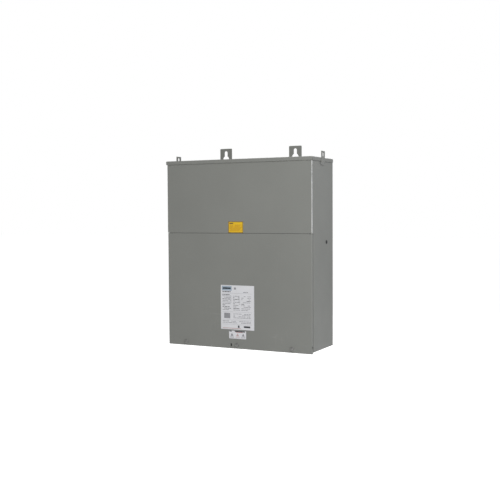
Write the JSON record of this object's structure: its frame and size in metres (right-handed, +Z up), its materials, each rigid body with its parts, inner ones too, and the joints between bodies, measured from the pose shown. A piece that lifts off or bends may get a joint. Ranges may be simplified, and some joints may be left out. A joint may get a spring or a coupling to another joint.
{
  "type": "automatic transfer switch",
  "caption": "Wall-mounted steel enclosure with a swing-out lower cover over a double-throw contactor, solenoid drive, control board, fuse block and terminal bars.",
  "frame": {"origin": "centre of the back panel's rear face, which lies on the wall", "axes": "+Y into the wall, -Y out of the front covers, +X the viewer's right, +Z up"},
  "size_m": [0.546, 0.1835, 0.6764],
  "materials": {
    "enclosure_paint": "grey baked enamel, semi-matt",
    "zinc_steel": "zinc plated",
    "steel": "oiled bright steel",
    "copper": "bare copper",
    "aluminium": "tin-plated aluminium",
    "brass": "bare bearing brass",
    "moulding": "black phenolic moulding",
    "arc_plate": "dull steel plate",
    "coil_tape": "amber coil tape",
    "red_plastic": "red polyester moulding",
    "board_green": "green solder mask",
    "terminal_green": "green nylon",
    "black_plastic": "black nylon",
    "grey_plastic": "grey moulding",
    "white_plastic": "white nylon",
    "white_vinyl": "printed white vinyl",
    "yellow_vinyl": "printed yellow vinyl"
  },
  "bodies": {
    "enclosure": {"back_panel": "enclosure_paint", "side_wall_left": "enclosure_paint", "side_wall_right": "enclosure_paint", "bottom_pan": "enclosure_paint", "top_cap": "enclosure_paint", "upper_cover": "enclosure_paint", "cross_rail": "enclosure_paint", "lifting_ear_left": "enclosure_paint", "lifting_ear_right": "enclosure_paint", "backplate": "zinc_steel", "mechanism_frame": "zinc_steel", "utility_contact_left": "copper", "utility_contact_right": "copper", "generator_contact_left": "copper", "generator_contact_right": "copper", "load_bus_left": "copper", "load_bus_right": "copper", "neutral_bar": "aluminium", "ground_bar": "aluminium", "utility_lug_left": "aluminium", "utility_lug_right": "aluminium", "generator_lug_left": "aluminium", "generator_lug_right": "aluminium", "load_lug_left": "aluminium", "load_lug_right": "aluminium", "shaft_bushing": "brass", "contactor_base": "moulding", "fuse_base": "moulding", "arc_chute_left": "arc_plate", "arc_chute_right": "arc_plate", "transformer": "arc_plate", "utility_coil": "coil_tape", "generator_coil": "coil_tape", "neutral_insulator": "red_plastic", "control_board": "board_green", "terminal_strip": "terminal_green", "side_plug": "black_plastic", "board_tray": "black_plastic", "switch_block": "black_plastic", "caution_label": "yellow_vinyl"},
    "lower_cover": {"lower_cover": "enclosure_paint", "cover_screw_left": "zinc_steel", "cover_screw_centre": "zinc_steel", "cover_screw_right": "zinc_steel", "nameplate_label": "white_vinyl", "small_label": "white_vinyl"},
    "transfer_shaft": {"transfer_shaft": "steel", "rotor": "red_plastic", "contact_arm_left": "copper", "contact_arm_right": "copper", "crank": "steel", "manual_handle": "zinc_steel", "handle_grip": "red_plastic"},
    "utility_plunger": {"utility_plunger": "steel"},
    "generator_plunger": {"generator_plunger": "steel", "plunger_spring": "steel"},
    "test_button": {"test_button": "red_plastic"},
    "mode_toggle": {"mode_toggle": "white_plastic"},
    "fuse_carrier_1": {"fuse_carrier_1": "grey_plastic"},
    "fuse_carrier_2": {"fuse_carrier_2": "grey_plastic"}
  },
  "joints": [
    {"name": "lower_cover_swing", "type": "hinge", "parent": "enclosure", "child": "lower_cover", "pos_m": [0, -0.178, 0.0664], "axis": [-1, 0, 0], "range_deg": [0, 75]},
    {"name": "transfer_throw", "type": "hinge", "parent": "enclosure", "child": "transfer_shaft", "pos_m": [0, -0.0624, -0.045], "axis": [1, 0, 0], "range_deg": [0, 24]},
    {"name": "utility_plunger_slide", "type": "slide", "parent": "enclosure", "child": "utility_plunger", "axis": [0, 0, 1], "range_m": [-0.0109, 0]},
    {"name": "generator_plunger_slide", "type": "slide", "parent": "enclosure", "child": "generator_plunger", "axis": [0, 0, 1], "range_m": [-0.0109, 0], "deforming": ["plunger_spring"]},
    {"name": "test_button_press", "type": "slide", "parent": "enclosure", "child": "test_button", "axis": [0, 1, 0], "range_m": [0, 0.002], "stiffness_N_per_m": 300, "springref_m": -0.001},
    {"name": "mode_toggle_tip", "type": "hinge", "parent": "enclosure", "child": "mode_toggle", "pos_m": [0.1698, -0.0388, 0.174], "axis": [1, 0, 0], "range_deg": [0, 28]},
    {"name": "fuse_carrier_1_tip", "type": "hinge", "parent": "enclosure", "child": "fuse_carrier_1", "pos_m": [0, -0.0287, 0.16], "axis": [1, 0, 0], "range_deg": [0, 60]},
    {"name": "fuse_carrier_2_tip", "type": "hinge", "parent": "enclosure", "child": "fuse_carrier_2", "pos_m": [0, -0.0287, 0.16], "axis": [1, 0, 0], "range_deg": [0, 60]}
  ],
  "couplings": [
    {"joint": "utility_plunger_slide", "follows": "transfer_throw", "m_per_rad": -0.02581},
    {"joint": "generator_plunger_slide", "follows": "transfer_throw", "m_per_rad": -0.02581}
  ]
}
